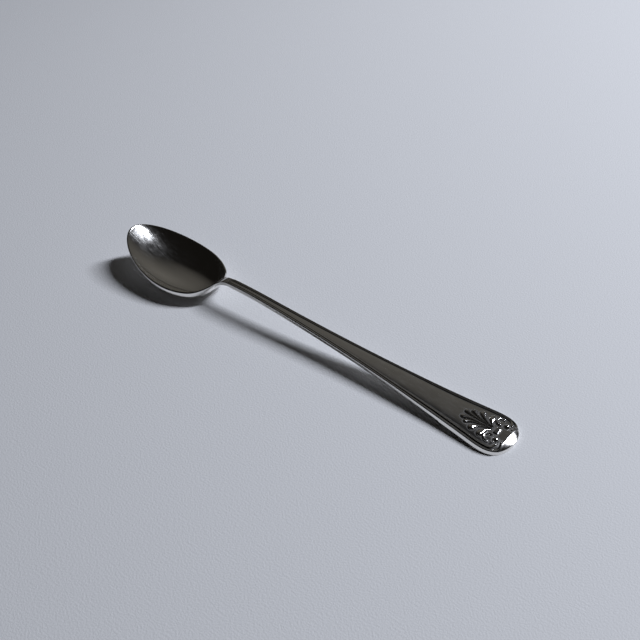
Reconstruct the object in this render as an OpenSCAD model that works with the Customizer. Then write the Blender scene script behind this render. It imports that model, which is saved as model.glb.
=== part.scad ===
// Long-handled serving spoon with an egg-shaped bowl, an arched neck, a double-thread border and a palmette.
// It lies bowl up on the table plane z = 0, with its tip at -X, its handle end at +X and its middle at x = 0.

/* [Overall] */
// Length from the tip of the bowl to the end of the handle
overall_length = 200; // [190:1:215]

/* [Bowl] */
// Length of the bowl from its tip to its heel
bowl_length = 53.5; // [50:0.5:57]
// Greatest width across the rim
bowl_width = 34; // [30:0.5:38]
// Distance from the tip to the widest place
widest_from_tip = 29.5; // [27:0.5:32]
// Distance from the tip to the deepest place
deepest_from_tip = 38; // [36.5:0.5:39.5]
// Depth of the hollow below the rim
bowl_depth = 5.6; // [5:0.1:6.4]
// How much higher the rim stands at the tip than along its back
tip_lift = 10.3; // [8.7:0.2:11.9]
// How far the rim sags below a straight line from tip to back
rim_sag = 2.6; // [1.6:0.1:3.2]
// Thickness of the metal at the bottom of the bowl
bowl_wall = 1.3; // [1:0.1:1.8]
// Thickness of the metal at the rim
rim_wall = 0.9; // [0.7:0.1:1.2]
// Height of the upright edge around the rim
rim_edge = 1.1; // [0.9:0.05:1.3]
// Width of the straight edge across the heel
heel_width = 5.2; // [4.8:0.1:5.6]
// How far the rim sweeps up at the heel, to meet the stem
heel_sweep = 3.8; // [3.2:0.1:4.4]
// Length over which the rim sweeps up
sweep_run = 9.5; // [8.5:0.5:11]
// Depth of the flat worn on the underside
bowl_wear = 0.12; // [0.08:0.02:0.2]

/* [Stem] */
// Distance from the heel to the top of the arched neck
crest_run = 9; // [8:0.5:11]
// Height of the top of the arched neck above the table
crest_height = 12.55; // [11.8:0.05:13.4]
// Length over which the neck bends down to the straight stem
knee_run = 18; // [14:0.5:24]
// Width of the stem at its narrowest
stem_width = 3.9; // [3.4:0.1:4.6]
// Thickness of the stem, square to its length
stem_thickness = 2.5; // [2.1:0.1:3]
// Width of the shoulders where the stem meets the heel
shoulder_width = 6; // [5.8:0.1:6.6]
// Distance from the heel over which the shoulders draw in
shoulder_run = 6; // [5:0.5:8]
// Step from the heel's rim down to the stem behind it
heel_step = 0.2; // [0.1:0.05:0.4]
// Depth of the metal behind the heel
root_thickness = 2.6; // [2.2:0.1:3]
// Height of the side wall behind the heel
root_wall = 0.9; // [0.7:0.05:1.2]
// Length of the tongue brazed under the bowl
tongue_length = 8; // [6:0.5:10]

/* [Handle] */
// Width of the handle where its rounded end begins
handle_width = 19.4; // [18:0.2:22]
// Length of the rounded end
end_round = 15; // [13:0.5:17]
// Thickness of the handle near its end, along its middle
handle_thickness = 3.2; // [3:0.05:3.5]
// How far the crowned top falls from its middle to its edges
edge_fall = 1.2; // [0.9:0.05:1.4]
// Height of the side wall at the end
wall_height = 1.4; // [1.1:0.05:1.5]
// Height of the panel's top at the very end
end_height = 2.75; // [2.6:0.05:2.9]
// Length of the straight plane that carries the ornament
plane_length = 25; // [24:0.5:28]
// Slope of that plane, in degrees
plane_slope = 3.2; // [2.6:0.1:3.8]
// Length over which the stem bends into that plane
toe_run = 14; // [10:0.5:20]
// Length of the bevelled lip across the end
lip_length = 2.7; // [2.3:0.1:3.1]
// How far the bevelled lip falls
lip_fall = 1.1; // [0.9:0.05:1.3]

/* [Threads] */
// Distance from the heel to where the threads begin
thread_start = 5.5; // [4:0.5:9]
// Width of each thread at the broad end
thread_width = 0.64; // [0.56:0.02:0.72]
// Height of the threads at the broad end
thread_height = 0.4; // [0.3:0.02:0.5]
// Groove between the two threads at the broad end
thread_groove = 0.44; // [0.36:0.02:0.52]
// Rounded margin between the outer thread and the side wall
edge_margin = 0.25; // [0.2:0.01:0.3]

/* [Ornament] */
// Distance from the handle's end to the roots of the plumes
plume_root = 9.7; // [9.4:0.1:10.2]
// Length of the palmette from its roots to the middle of the first plume's tip
palmette_length = 12.2; // [11:0.1:13]
// Half width of the palmette at the middle of the last plume's tip
palmette_reach = 5.3; // [4.8:0.1:5.6]
// Number of plumes on each side
plume_count = 4; // [3:1:5]
// Width of a plume at its swollen tip
plume_width = 2.6; // [2.2:0.1:2.9]
// Groove between neighbouring plumes
plume_groove = 0.12; // [0.08:0.02:0.2]
// Height of a plume at its swollen tip
plume_height = 0.6; // [0.4:0.05:0.8]
// Distance from the handle's end to the middle of the scrolls
volute_inset = 8.5; // [8.3:0.1:8.8]
// Distance from the axis to the middle of the scrolls
volute_offset = 4.95; // [4.8:0.05:5.1]
// Radius of the scrolls, to the middle of the ridge
volute_radius = 1.85; // [1.6:0.05:1.95]
// Width of the scrolls' ridge
volute_width = 0.9; // [0.7:0.05:1]
// Height of the scrolls' ridge
volute_height = 0.65; // [0.5:0.05:0.8]
// Distance from the handle's end to the middle of the beads
bead_inset = 5.75; // [5.6:0.05:5.9]
// Distance from the axis to the middle of the beads
bead_offset = 4.25; // [4.1:0.05:4.4]
// Diameter of the beads
bead_diameter = 2.5; // [2:0.1:2.6]
// Height of the beads
bead_height = 0.95; // [0.7:0.05:1.1]
// Distance from the handle's end to the middle of the clasp
clasp_inset = 7.5; // [7.4:0.05:7.6]
// Length of the clasp across the handle
clasp_length = 3.6; // [3:0.1:3.8]
// Width of the clasp along the handle
clasp_width = 1.9; // [1.6:0.1:2]
// Height of the clasp
clasp_height = 0.55; // [0.4:0.05:0.7]

/* [Hidden] */
$fn = 96;
tiny = 0.01;
metal = "silver";
bright = "gainsboro";

// Places along the spoon
x_tip = -overall_length / 2;
x_end = overall_length / 2;
x_heel = x_tip + bowl_length;
x_deep = x_tip + deepest_from_tip;
x_crest = x_heel + crest_run;
x_plane = x_end - plane_length;
x_round = x_end - end_round;
x_lip = x_end - lip_length;

// Shared curves
function mix(a, b, t) = a + (b - a) * t;
function ease(t) = t * t * (3 - 2 * t);
function bezier(p, t) =
    pow(1 - t, 3) * p[0] + 3 * pow(1 - t, 2) * t * p[1] + 3 * (1 - t) * t * t * p[2] + pow(t, 3) * p[3];
function steps(a, b, n) = [for (i = [0 : n - 1]) mix(a, b, i / n)];
function hermite(z0, m0, z1, m1, run, t) =
    z0 * (1 - ease(t)) + z1 * ease(t) + run * t * pow(1 - t, 2) * m0 - run * t * t * (1 - t) * m1;
function unit(v) = v / norm(v);
function past(x, from, run) = max(0, (x - from) / run);

// A closed solid through rings of points that all have the same count, ordered the same way
module loft(rings) {
    n = len(rings[0]);
    m = len(rings);
    polyhedron(
        points = [for (ring = rings) each ring],
        faces = [
            [for (j = [0 : n - 1]) j],
            for (i = [0 : m - 2], j = [0 : n - 1]) let (k = (j + 1) % n)
                each [[i * n + j, (i + 1) * n + j, (i + 1) * n + k], [i * n + j, (i + 1) * n + k, i * n + k]],
            [for (j = [n - 1 : -1 : 0]) (m - 1) * n + j]
        ]
    );
}

// A closed solid through rings that start and end in a single point
module pod(first, rings, last) {
    n = len(rings[0]);
    m = len(rings);
    end = n * m + 1;
    polyhedron(
        points = [first, for (ring = rings) each ring, last],
        faces = [
            for (j = [0 : n - 1]) [0, 1 + (j + 1) % n, 1 + j],
            for (i = [0 : m - 2], j = [0 : n - 1]) let (a = 1 + i * n, b = a + n, k = (j + 1) % n)
                each [[a + j, b + k, b + j], [a + j, a + k, b + k]],
            for (j = [0 : n - 1]) [end, end - n + j, end - n + (j + 1) % n]
        ]
    );
}

// Everything below the table, which wears the undersides flat
module below_table() {
    translate([-overall_length, -overall_length / 2, -overall_length])
        cube([2 * overall_length, overall_length, overall_length]);
}

// Bowl outline: half an egg from tip to heel, as two curves that meet at the widest place
tip_bluntness = 0.48;
tip_swell = 0.53;
heel_swell = 0.55;
heel_draw = [3.3, 6.6];
outline_steps = 13;
half_width = bowl_width / 2;
front_curve = [
    [0, 0], [0, tip_bluntness * half_width],
    [widest_from_tip * (1 - tip_swell), half_width], [widest_from_tip, half_width]
];
back_curve = [
    [widest_from_tip, half_width], [mix(widest_from_tip, bowl_length, heel_swell), half_width],
    [bowl_length - heel_draw[0], heel_width / 2 + heel_draw[1]], [bowl_length, heel_width / 2]
];
half_outline = [
    for (t = steps(0, 1, outline_steps)) bezier(front_curve, t),
    for (t = steps(0, 1, outline_steps)) bezier(back_curve, t),
    [bowl_length, heel_width / 2]
];
outer_side = [for (p = half_outline) [x_tip + p[0], p[1]]];
outline = [each outer_side, for (i = [len(outer_side) - 1 : -1 : 1]) [outer_side[i][0], -outer_side[i][1]]];

// Height of the rim above its base: high at the tip, sagging along the sides and swept up at the heel
back_share = 0.916;
back_length = back_share * bowl_length;
function rim_lift(x) = let (u = (x - x_tip) / back_length)
    tip_lift * (1 - u) - 4 * rim_sag * u * (1 - u)
    + heel_sweep * pow(past(x, x_heel - sweep_run, sweep_run), 2);

// The hollow hangs from the rim, and the outside lies a wall's thickness below it. The outside's cross section
// is a full oval, upright at the rim; the hollow's is part of a wider one, so that its walls lean out.
section_power = 2.3;
hollow_spread = 1.15;
tip_power = 2;
heel_power = 3;
bowl_rings = 10;
low_steps = 60;
middle = [x_deep, 0];
function deepening(x, tip, heel) =
    1 - (x < x_deep ? pow((x_deep - x) / (x_deep - tip), tip_power)
    : pow((x - x_deep) / (heel - x_deep), heel_power));
function oval(f) = pow(max(0, 1 - pow(f, section_power)), 1 / section_power);
function rounding(f, spread) = (oval(f / spread) - oval(1 / spread)) / (1 - oval(1 / spread));
function dish(p, side, spread) = bowl_depth * deepening(p[0], side[0][0], side[len(side) - 1][0])
    * rounding(abs(p[1]) / max(tiny, lookup(p[0], side)), spread);
function hollow(p) = dish(p, inner_side, hollow_spread);
function shell(r) = mix(bowl_wall, rim_edge, r * r);
function outside(p, r) = dish(p, outer_side, 1) + shell(r);
function axis_outside(t) = outside([mix(x_deep, x_heel, t), 0], t);
low_samples = [for (t = steps(0, 1, low_steps)) rim_lift(mix(x_deep, x_heel, t)) - axis_outside(t)];
rim_base = -min(low_samples) - bowl_wear;
root_top = rim_base + rim_lift(x_heel) - heel_step;
function hung(p, fall) = [p[0], p[1], rim_base + rim_lift(p[0]) - fall];
function bowl_underside(x) = hung([x, 0], axis_outside((x - x_deep) / (x_heel - x_deep)))[2];
inner_edge = [for (p = outline) p - rim_wall * unit(p - middle)];
inner_side = [for (i = [0 : len(outer_side) - 1]) inner_edge[i]];
function outer_ring(r) = [for (p = outline) let (q = mix(middle, p, r)) hung(q, outside(q, r))];
function inner_ring(r) = [for (p = inner_edge) let (q = mix(middle, p, r)) hung(q, hollow(q))];
rim_ring = [for (p = outline) hung(p, 0)];
ring_radii = [for (i = [1 : bowl_rings]) sin(90 * i / bowl_rings)];
outer_rings = [for (r = ring_radii) outer_ring(r), rim_ring];
inner_rings = [for (i = [bowl_rings - 1 : -1 : 0]) inner_ring(ring_radii[i])];
bowl_bottom = hung(middle, bowl_depth + bowl_wall);

// The bowl with its hollow filled, which the handle's end is shaped against
module filled_bowl() {
    pod(bowl_bottom, outer_rings, hung(middle, 0));
}

module bowl() {
    color(bright)
        difference() {
            pod(bowl_bottom, concat(outer_rings, inner_rings), hung(middle, bowl_depth));
            below_table();
        }
}

// Side view of the handle: arched neck, straight stem and the slightly sloped plane of the end
stem_rise = 0.8;
root_rise = 0.7;
plane_fall = tan(plane_slope);
plane_top = end_height + plane_length * plane_fall;
x_toe = x_plane - toe_run;
x_ornament = x_plane - toe_run / 2;
x_knee = x_crest + knee_run;
stem_drop = crest_height - plane_top - plane_fall * toe_run / 2;
stem_fall = stem_drop / (x_toe - x_crest - knee_run / 2 + toe_run / 2);
knee_height = crest_height - stem_fall * knee_run / 2;
toe_height = plane_top + (stem_fall + plane_fall) * toe_run / 2;
function panel_height(x) =
    x < x_crest ? hermite(root_top, stem_rise, crest_height, 0, crest_run, up_neck(x))
    : x < x_knee ? crest_height - stem_fall * pow(x - x_crest, 2) / (2 * knee_run)
    : x < x_toe ? mix(knee_height, toe_height, (x - x_knee) / (x_toe - x_knee))
    : x < x_plane ? plane_top + plane_fall * (x_plane - x)
        + (stem_fall - plane_fall) * pow(x_plane - x, 2) / (2 * toe_run)
    : plane_top - plane_fall * (x - x_plane);
function along(x) = max(0, min(1, (x - x_crest) / (x_plane - x_crest)));
function steepness(x) = (panel_height(x + tiny) - panel_height(x)) / tiny;
function thickness(x) = mix(stem_thickness, handle_thickness, along(x)) * sqrt(1 + pow(steepness(x), 2));
root_low = root_top - root_thickness;
function up_neck(x) = (x - x_heel) / crest_run;
function underside(x) = x > x_crest ? panel_height(x) - thickness(x)
    : hermite(root_low, root_rise, crest_height - stem_thickness, 0, crest_run, up_neck(x));
function wall(x) = x > x_crest ? mix(stem_thickness / 2, wall_height, along(x))
    : mix(root_wall, stem_thickness / 2, up_neck(x));

// Plan view of the handle: shoulders, slim stem, flare and rounded end
flare_power = 2.2;
end_fullness = 2.1;
end_sharpness = 3;
shoulder_power = 2;
border_least = 0.5;
border_growth = 2.5;
x_slim = x_heel + shoulder_run;
function flare(x) = mix(stem_width, handle_width, pow(past(x, x_slim, x_round - x_slim), flare_power)) / 2;
shoulder_swell = (shoulder_width - stem_width) / 2;
function shoulder(x) = shoulder_swell * pow(past(-x, -x_slim, shoulder_run), shoulder_power);
function end_cap(x) = pow(1 - pow(past(x, x_round, end_round), end_sharpness), 1 / end_fullness);
function half_handle(x) = (flare(x) + shoulder(x)) * end_cap(x);
function border(x) = max(border_least, min(1, border_growth * flare(x) / handle_width));

// The crowned top: flat along the middle, falling away to the edges and to the end
crown_power = 3.5;
crown_growth = 1.5;
function crown(x) = edge_fall * pow(2 * flare(x) / handle_width, crown_growth);
function lip(x) = past(x, x_lip, lip_length);
function top_fall(x, f) = mix(crown(x) * pow(f, crown_power), lip_fall, lip(x));
function margin(x) = edge_margin * border(x);
function top_at(x, y) = panel_height(x) - top_fall(x, min(1, abs(y) / (half_handle(x) - margin(x))));

// Cross sections of the handle, from +Y over the crowned top to -Y and back along the rounded underside
top_fractions = [1, 0.93, 0.85, 0.75, 0.62, 0.4];
crown_steps = 8;
tongue_steps = 5;
neck_steps = 8;
stem_steps = 14;
toe_steps = 5;
plane_steps = 4;
round_steps = 9;
lip_steps = 6;
lip_turn = asin((x_lip - x_round) / end_round);
end_trim = 0.998;
edge_rounding = 1 / 3;
function upper(x, w, top, edge, m, foot) = let (e = edge_rounding * m) [
    [x, w, foot], [x, w, edge - m], [x, w - e, edge - e],
    each top,
    [x, e - w, edge - e], [x, -w, edge - m], [x, -w, foot]
];
function lower(x, w, foot, low) = [
    for (i = [1 : crown_steps - 1]) let (a = 180 * i / crown_steps) [x, -w * cos(a), mix(foot, low, sin(a))]
];
across = [each top_fractions, 0, for (i = [len(top_fractions) - 1 : -1 : 0]) -top_fractions[i]];
function top_points(x, half) = [for (f = across) [x, f * half, top_at(x, f * half)]];
function handle_upper(x, depth) = let (w = half_handle(x), m = margin(x), edge = top_at(x, w - m))
    upper(x, w, top_points(x, w - m), edge, m, edge - depth);
function handle_section(x) = let (top = handle_upper(x, wall(x)))
    concat(top, lower(x, half_handle(x), top[0][2], underside(x)));
stations = [
    each steps(x_heel, x_crest, neck_steps),
    each steps(x_crest, x_knee, neck_steps / 2),
    each steps(x_knee, x_toe, stem_steps),
    each steps(x_toe, x_plane, toe_steps),
    each steps(x_plane, x_round, plane_steps),
    for (t = steps(0, lip_turn, round_steps)) x_round + end_round * sin(t),
    for (t = steps(lip_turn, 90, lip_steps)) x_round + end_round * sin(t),
    mix(x_round, x_end, end_trim)
];

// The tongue under the bowl: its upper side is buried in the bowl's wall, which the bowl then cuts away
tongue_point = 2;
tongue_power = 4;
tongue_sink = 0.4;
function tongue_section(t) = let (
        x = x_heel - tongue_length * (1 - t),
        full = bowl_underside(x_heel) - root_low,
        low = bowl_underside(x) + tongue_sink * (1 - t) - full * pow(t, tongue_power),
        high = bowl_underside(x) + bowl_wall / 2,
        w = mix(tongue_point, shoulder_width, t) / 2,
        m = margin(x_heel),
        top = [for (f = across) [x, f * (w - m), high]],
        foot = mix(high, low, root_wall / root_thickness)
    ) concat(upper(x, w, top, high, m, foot), lower(x, w, foot, low));

// The handle before it is fitted to the bowl and worn by the table
module handle_blank() {
    loft([
        for (t = steps(0, 1, tongue_steps)) tongue_section(t),
        for (x = stations) handle_section(x)
    ]);
}

module handle() {
    color(metal)
        difference() {
            handle_blank();
            filled_bowl();
            below_table();
        }
}

// A rounded ridge along a path of [x, y, across, half width, height], where across is the direction of its
// section in plan; its base is sunk into the handle, and on_handle() then cuts it to the handle's own top,
// of which only the stretch beyond x_from is needed
ridge_steps = 6;
ridge_sink = 0.35;
block_depth = 0.8;
function ridge_foot(p, side) = let (foot = [p[0], p[1]] + p[2] * p[3] * side)
    [foot[0], foot[1], top_at(foot[0], foot[1])];
function ridge_section(p) = [
    ridge_foot(p, 1) - [0, 0, ridge_sink],
    for (i = [0 : ridge_steps]) let (a = 180 * i / ridge_steps) ridge_foot(p, cos(a)) + [0, 0, p[4] * sin(a)],
    ridge_foot(p, -1) - [0, 0, ridge_sink]
];
module ridge(path) {
    loft([for (p = path) ridge_section(p)]);
}
module on_handle(x_from) {
    color(bright)
        difference() {
            children();
            loft([for (x = stations) if (x > x_from) handle_upper(x, block_depth)]);
        }
}
function left_of(v) = unit([-v[1], v[0]]);
function tangent(points, i) = points[min(i + 1, len(points) - 1)] - points[max(i - 1, 0)];
function ridge_point(points, i, half, height) =
    [points[i][0], points[i][1], left_of(tangent(points, i)), half, height];

// Thread wires: they follow the handle's edge and then hook round the scrolls' beads
hook_steps = 12;
hook_reach = 0.45;
thread_fade = 0.2;
hook_taper = 0.3;
thread_lead = 2;
function edge_point(x, inset) = [x, half_handle(x) - inset * border(x)];
function hook(inset, x_from, end_at, end_way) = let (
        start = edge_point(x_from, inset),
        way = unit(edge_point(x_from + tiny, inset) - start),
        reach = hook_reach * norm(end_at - start),
        curve = [start, start + reach * way, end_at - reach * end_way, end_at]
    ) [for (i = [1 : hook_steps]) bezier(curve, i / hook_steps)];
function thread_path(inset, x_from, end_at, end_way) = let (
        edge = [for (x = stations) if (x >= x_heel + thread_start && x < x_from) x],
        bend = concat([edge_point(x_from, inset)], hook(inset, x_from, end_at, end_way)),
        last = len(bend) - 1
    ) concat(
        [for (x = edge) let (s = border(x), fade = x == edge[0] ? thread_fade : 1)
            [x, edge_point(x, inset)[1], [0, 1], thread_width * s / 2, thread_height * s * fade]],
        [for (i = [0 : last]) let (fade = i == last ? hook_taper : 1)
            ridge_point(bend, i, thread_width * fade / 2, thread_height * fade)]
    );
outer_inset = edge_margin + thread_width / 2;
inner_inset = outer_inset + thread_width + thread_groove;
bead_at = [x_end - bead_inset, bead_offset];
outer_bend = 4.6;
inner_bend = 6.6;
outer_hook_gap = 0.65;
inner_hook_gap = 0.3;
outer_hook_angle = -22;
inner_hook_angle = 40;
module thread(inset, bend, gap, angle) {
    way = [sin(angle), -cos(angle)];
    end_at = bead_at + (bead_diameter / 2 + gap + thread_width / 2) * [cos(angle), sin(angle)];
    on_handle(x_heel + thread_start - thread_lead)
        ridge(thread_path(inset, x_end - bend, end_at, way));
}
module thread_outer() { thread(outer_inset, outer_bend, outer_hook_gap, outer_hook_angle); }
module thread_inner() { thread(inner_inset, inner_bend, inner_hook_gap, inner_hook_angle); }

// Palmette: plumes that leave the clasp along the axis, curve outwards and swell to round tips.
// A plume is as wide as the room between its neighbours allows, until it reaches its full width.
plume_first = 0.84;
plume_fan = 81;
plume_steps = 10;
root_spread = 0.25;
root_start = 0.8;
cap_steps = 4;
cap_angle = 85;
plume_bend = [0.8, 0.28];
function plume_points(k) = let (
        root = [x_end - plume_root, root_spread * (k + root_start)],
        angle = plume_fan / plume_count * (k + plume_first),
        tip = [root[0] - palmette_length * cos(angle), palmette_reach * sin(angle)],
        bend = [mix(root[0], tip[0], plume_bend[0]), mix(root[1], tip[1], plume_bend[1])]
    ) [for (i = [0 : plume_steps]) let (t = i / plume_steps)
        pow(1 - t, 2) * root + 2 * t * (1 - t) * bend + t * t * tip];
function to_segment(p, a, b) = let (way = b - a, t = max(0, min(1, (p - a) * way / (way * way))))
    norm(p - mix(a, b, t));
function to_path(p, path) = min([for (i = [0 : len(path) - 2]) to_segment(p, path[i], path[i + 1])]);
function plume_room(k, p) = min(
    k == 0 ? 2 * p[1] : to_path(p, plume_points(k - 1)),
    k == plume_count - 1 ? plume_width + plume_groove : to_path(p, plume_points(k + 1))
);
function plume_path(k) = let (
        points = plume_points(k),
        out = unit(tangent(points, plume_steps)),
        half = [for (p = points) min(plume_width, plume_room(k, p) - plume_groove) / 2],
        r = half[plume_steps]
    ) concat(
        [for (i = [0 : plume_steps])
            ridge_point(points, i, half[i], plume_height * sqrt(half[i] / r))],
        [for (i = [1 : cap_steps])
            let (a = cap_angle * i / cap_steps, p = points[plume_steps] + out * r * sin(a))
            [p[0], p[1], left_of(out), r * cos(a), plume_height * sqrt(cos(a))]]
    );
module palmette() {
    on_handle(x_ornament)
        for (k = [0 : plume_count - 1]) {
            ridge(plume_path(k));
            mirror([0, 1, 0]) ridge(plume_path(k));
        }
}

// Scrolls: open rings whose gap faces the bead
scroll_steps = 16;
scroll_gap = 62;
scroll_taper = 0.5;
module volute() {
    on_handle(x_ornament)
        ridge([for (i = [0 : scroll_steps])
            let (a = mix(scroll_gap, 360 - scroll_gap, i / scroll_steps), way = [cos(a), sin(a)],
                p = [x_end - volute_inset, volute_offset] + volute_radius * way,
                taper = i == 0 || i == scroll_steps ? scroll_taper : 1)
            [p[0], p[1], -way, volute_width * taper / 2, volute_height * taper]]);
}
module volute_right() { volute(); }
module volute_left() { mirror([0, 1, 0]) volute(); }

bead_facets = 192;
module volute_beads() {
    r = bead_diameter / 2;
    ball = (r * r + bead_height * bead_height) / (2 * bead_height);
    on_handle(x_ornament)
        for (side = [1, -1])
            translate([bead_at[0], side * bead_at[1], top_at(bead_at[0], bead_at[1]) + bead_height - ball])
                sphere(r = ball, $fn = bead_facets);
}

clasp_steps = 4;
clasp_taper = 0.6;
module clasp() {
    on_handle(x_ornament)
        ridge([for (i = [-clasp_steps : clasp_steps])
            let (t = sin(90 * i / clasp_steps), taper = sqrt(1 - clasp_taper * pow(t, 6)),
                y = t * clasp_length / 2)
            [x_end - clasp_inset, y, [-1, 0], clasp_width * taper / 2, clasp_height * taper]]);
}

module thread_outer_right() { thread_outer(); }
module thread_outer_left() { mirror([0, 1, 0]) thread_outer(); }
module thread_inner_right() { thread_inner(); }
module thread_inner_left() { mirror([0, 1, 0]) thread_inner(); }

bowl();
handle();
thread_outer_right();
thread_outer_left();
thread_inner_right();
thread_inner_left();
palmette();
volute_right();
volute_left();
volute_beads();
clasp();
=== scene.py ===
"""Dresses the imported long-handled spoon: smooth silver pieces, a pale table, soft light and a camera."""

import math

import bmesh
import bpy
import numpy as np
from bpy.props import FloatProperty, FloatVectorProperty, IntProperty, PointerProperty, StringProperty
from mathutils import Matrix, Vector
from mathutils.kdtree import KDTree


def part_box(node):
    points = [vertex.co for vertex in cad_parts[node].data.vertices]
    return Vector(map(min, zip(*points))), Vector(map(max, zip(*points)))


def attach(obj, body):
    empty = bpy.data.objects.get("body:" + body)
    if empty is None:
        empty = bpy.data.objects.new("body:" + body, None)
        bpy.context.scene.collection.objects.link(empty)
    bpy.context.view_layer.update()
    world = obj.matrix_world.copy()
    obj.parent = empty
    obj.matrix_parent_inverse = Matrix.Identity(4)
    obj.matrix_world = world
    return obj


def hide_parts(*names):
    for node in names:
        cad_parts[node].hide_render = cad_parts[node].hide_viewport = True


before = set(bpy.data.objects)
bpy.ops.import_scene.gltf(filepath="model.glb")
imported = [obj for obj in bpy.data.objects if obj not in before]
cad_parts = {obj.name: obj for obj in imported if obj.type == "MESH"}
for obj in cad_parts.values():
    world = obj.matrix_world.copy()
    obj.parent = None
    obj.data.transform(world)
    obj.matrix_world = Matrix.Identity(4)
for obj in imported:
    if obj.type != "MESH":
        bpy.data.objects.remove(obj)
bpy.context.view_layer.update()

bl_info = {
    "name": "Long-handled Serving Spoon",
    "version": (1, 0, 0),
    "blender": (4, 5, 0),
    "location": "3D View > Sidebar > Spoon",
    "description": "Builds a silver-plated serving spoon with a thread border and a palmette",
    "category": "Add Mesh",
}

MM = 0.001
BODY = "root"


# Properties

def length(label, millimetres, description):
    """A length in metres, with its default given in millimetres."""
    return FloatProperty(
        name=label, description=description, default=millimetres * MM, min=0.0, precision=5, unit="LENGTH"
    )


def share(label, value, description):
    """A plain share from 0 to 1."""
    return FloatProperty(
        name=label, description=description, default=value, min=0.0, max=1.0, subtype="FACTOR"
    )


def angle(label, degrees, description):
    """An angle in radians, with its default given in degrees."""
    return FloatProperty(
        name=label, description=description, default=math.radians(degrees), unit="ROTATION"
    )


def power(label, watts, description):
    """The power of a lamp."""
    return FloatProperty(name=label, description=description, default=watts, min=0.0, unit="POWER")


def sides(label, millimetres, description):
    """A width and a height in metres, with their defaults given in millimetres."""
    default = [v * MM for v in millimetres]
    return FloatVectorProperty(
        name=label, description=description, default=default, size=2, min=0.0, unit="LENGTH"
    )


def point(label, millimetres, description):
    """A point in metres, with its default given in millimetres."""
    default = [v * MM for v in millimetres]
    return FloatVectorProperty(name=label, description=description, default=default, subtype="TRANSLATION")


def bearings(label, degrees, description):
    """A bearing from +X towards +Y and a rise above the table, with their defaults given in degrees."""
    default = [math.radians(v) for v in degrees]
    return FloatVectorProperty(
        name=label, description=description, default=default, size=2, unit="ROTATION"
    )


def tone(label, code, description):
    """A colour, written as an sRGB hex code."""
    return StringProperty(name=label, description=description, default=code)


BOWL_LOW, BOWL_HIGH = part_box("bowl")


class BowlSizes(bpy.types.PropertyGroup):
    """Sizes of the raised bowl."""

    length: length("Length", (BOWL_HIGH.x - BOWL_LOW.x) / MM, "From the tip to the heel")
    width: length("Width", (BOWL_HIGH.y - BOWL_LOW.y) / MM, "Greatest width across the rim")
    widest: length("Widest place", 29.5, "Distance from the tip to the widest place")
    deepest: length("Deepest place", 38.0, "Distance from the tip to the deepest place")
    depth: length("Depth", 5.6, "Depth of the hollow below the rim")
    tip_lift: length("Tip lift", 10.3, "How much higher the rim stands at the tip than along its back")
    rim_sag: length("Rim sag", 2.6, "How far the rim sags below a straight line from tip to back")
    wall: length("Wall", 1.3, "Thickness of the metal at the bottom")
    rim_wall: length("Rim wall", 0.9, "Thickness of the metal at the rim")
    rim_edge: length("Rim edge", 1.1, "Height of the upright edge around the rim")
    rim_round: length("Rim rounding", 0.5, "How far the rounded rim falls to its outer side")
    rim_break: length("Rim break", 0.1, "How far the rim's broken inner edge falls")
    heel_width: length("Heel width", 5.2, "Width of the straight edge across the heel")
    heel_sweep: length("Heel sweep", 3.8, "How far the rim sweeps up at the heel")
    sweep_run: length("Sweep run", 9.5, "Length over which the rim sweeps up")
    wear: length("Wear", 0.12, "Depth of the flat worn on the underside")


class HandleSizes(bpy.types.PropertyGroup):
    """Sizes of the stem, the arched neck and the panel."""

    crest_run: length("Crest run", 9.0, "From the heel to the top of the arched neck")
    crest_height: length("Crest height", 12.55, "Height of the arched neck above the table")
    knee_run: length("Knee run", 18.0, "Length over which the neck bends down to the stem")
    stem_width: length("Stem width", 3.9, "Width of the stem at its narrowest")
    stem_thickness: length("Stem thickness", 2.5, "Thickness of the stem")
    shoulder_width: length("Shoulder width", 6.0, "Width where the stem meets the heel")
    shoulder_run: length("Shoulder run", 6.0, "Length over which the shoulders draw in")
    heel_step: length("Heel step", 0.2, "Step from the heel's rim down to the stem")
    root_thickness: length("Root thickness", 2.6, "Depth of the metal behind the heel")
    root_wall: length("Root wall", 0.9, "Height of the side wall behind the heel")
    tongue_length: length("Tongue length", 8.0, "Length of the tongue brazed under the bowl")
    width: length("Width", 19.4, "Width where the rounded end begins")
    end_round: length("Rounded end", 15.0, "Length of the rounded end")
    thickness: length("Thickness", 3.2, "Thickness near the end, along the middle")
    edge_fall: length("Edge fall", 1.2, "How far the crowned top falls to its edges")
    wall_height: length("Wall height", 1.4, "Height of the side wall at the end")
    end_height: length("End height", 2.75, "Height of the panel's top at the very end")
    plane_length: length("Plane length", 25.0, "Length of the straight plane that carries the ornament")
    plane_slope: angle("Plane slope", 3.2, "Slope of that plane")
    toe_run: length("Toe run", 14.0, "Length over which the stem bends into that plane")
    lip_length: length("Lip length", 2.7, "Length of the bevelled lip across the end")
    lip_fall: length("Lip fall", 1.1, "How far the bevelled lip falls")
    wall_lean: length("Wall lean", 0.3, "Lean of the side wall at the broad end, to catch the light")
    stem_undercut: length("Stem undercut", 0.35, "Undercut of the stem's side wall, to mirror the shadow")


class ThreadSizes(bpy.types.PropertyGroup):
    """Sizes of the four threads along the edges."""

    start: length("Start", 5.5, "From the heel to where the threads begin")
    width: length("Width", 0.64, "Width of each thread at the broad end")
    height: length("Height", 0.4, "Height of each thread at the broad end")
    groove: length("Groove", 0.44, "Groove between the two threads at the broad end")
    margin: length("Margin", 0.25, "Rounded margin between the outer thread and the side wall")


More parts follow.
